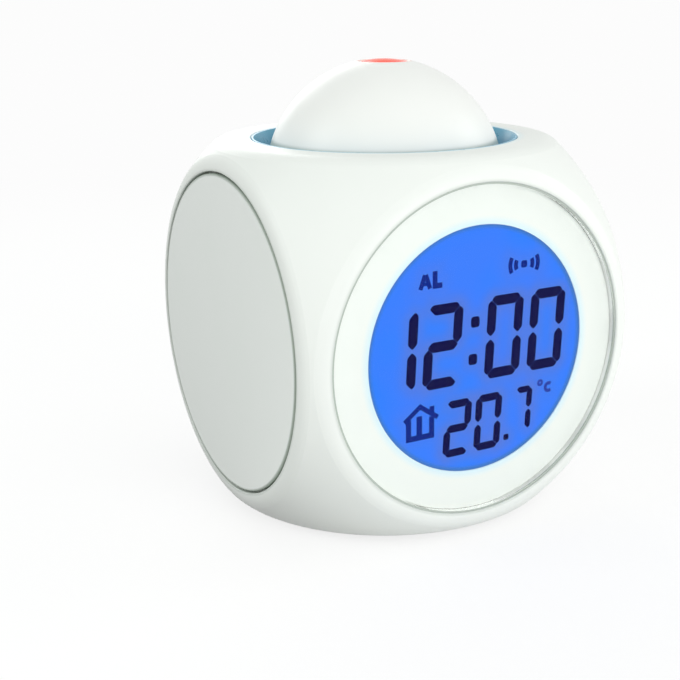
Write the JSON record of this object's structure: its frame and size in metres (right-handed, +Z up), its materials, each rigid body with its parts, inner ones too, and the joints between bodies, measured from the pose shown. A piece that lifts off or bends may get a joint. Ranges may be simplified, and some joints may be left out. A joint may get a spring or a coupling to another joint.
{
  "type": "projection alarm clock",
  "caption": "Rounded-cube alarm clock with a round display, a press dome that holds a projector, a light ring, rear keys and a twist-off battery cover.",
  "frame": {"origin": "middle of the surface that the clock stands on, under the middle of its body", "axes": "+Z up, -Y towards the person who reads the display, +X to that person's right"},
  "size_m": [0.08, 0.08, 0.0975],
  "materials": {
    "shell_plastic": "white moulded plastic, fine satin gloss",
    "cap_plastic": "white moulded plastic, satin",
    "dome_plastic": "white moulded plastic, satin",
    "key_plastic": "pale grey moulded plastic",
    "inner_plastic": "off-white moulded plastic",
    "clear_lens": "clear polished acrylic",
    "mask_film": "white printed film",
    "display_glass": "lit blue liquid-crystal glass",
    "diffuser": "milky acrylic",
    "blue_ring": "translucent blue plastic",
    "red_lens": "clear lens lit red from below",
    "red_led": "red tinted resin",
    "led_resin": "clear resin over phosphor",
    "circuit_board": "green solder mask",
    "dark_resin": "black moulded resin",
    "dark_rubber": "black foam and rubber",
    "seal_rubber": "pale grey soft seal",
    "foot_rubber": "pale grey rubber",
    "speaker_metal": "pressed steel",
    "contact_steel": "nickel plated spring steel",
    "screw_steel": "zinc plated steel",
    "cell_can": "plain printed sleeve on a steel can"
  },
  "bodies": {
    "housing": {"front_shell": "shell_plastic", "rear_shell": "shell_plastic", "front_lens": "clear_lens", "lens_gasket": "seal_rubber", "mask_ring": "mask_film", "lcd_panel": "display_glass", "lcd_holder": "inner_plastic", "backlight_diffuser": "diffuser", "backlight_leds": "led_resin", "contact_strips": "dark_rubber", "main_board": "circuit_board", "board_parts": "dark_resin", "left_cap": "cap_plastic", "right_cap": "cap_plastic", "rear_cap": "cap_plastic", "key_board": "circuit_board", "key_switches": "dark_resin", "speaker": "speaker_metal", "speaker_gasket": "dark_rubber", "battery_box": "inner_plastic", "battery_contacts": "contact_steel", "cell_left": "cell_can", "cell_middle": "cell_can", "cell_right": "cell_can", "light_ring": "blue_ring", "ring_board": "circuit_board", "ring_leds": "led_resin", "top_frame": "inner_plastic", "dome_switch": "dark_resin", "dome_spring": "contact_steel", "shell_screws": "screw_steel", "frame_screws": "screw_steel", "board_screws": "screw_steel", "box_screws": "screw_steel"},
    "dome": {"dome_cover": "dome_plastic", "projector_tube": "dome_plastic", "projector_lens": "red_lens", "condenser_lens": "clear_lens", "image_slide": "dark_resin", "projector_led": "red_led", "projector_board": "circuit_board", "dome_screws": "screw_steel"},
    "key_mode": {"key_mode": "key_plastic"},
    "key_set": {"key_set": "key_plastic"},
    "key_up": {"key_up": "key_plastic"},
    "key_down": {"key_down": "key_plastic"},
    "base_cover": {"base_cover": "cap_plastic", "feet": "foot_rubber"}
  },
  "joints": [
    {"name": "dome_press", "type": "slide", "parent": "housing", "child": "dome", "axis": [0, 0, -1], "range_m": [0, 0.0015], "stiffness_N_per_m": 1500, "springref_m": -0.0008, "deforming": ["dome_spring"]},
    {"name": "key_mode_press", "type": "slide", "parent": "housing", "child": "key_mode", "axis": [0, -1, 0], "range_m": [0, 0.0008], "stiffness_N_per_m": 1500, "springref_m": -0.0003},
    {"name": "key_set_press", "type": "slide", "parent": "housing", "child": "key_set", "axis": [0, -1, 0], "range_m": [0, 0.0008], "stiffness_N_per_m": 1500, "springref_m": -0.0003},
    {"name": "key_up_press", "type": "slide", "parent": "housing", "child": "key_up", "axis": [0, -1, 0], "range_m": [0, 0.0008], "stiffness_N_per_m": 1500, "springref_m": -0.0003},
    {"name": "key_down_press", "type": "slide", "parent": "housing", "child": "key_down", "axis": [0, -1, 0], "range_m": [0, 0.0008], "stiffness_N_per_m": 1500, "springref_m": -0.0003},
    {"name": "base_cover_turn", "type": "hinge", "parent": "housing", "child": "base_cover", "pos_m": [0, 0, 0.002], "axis": [0, 0, -1], "range_deg": [0, 30]}
  ]
}
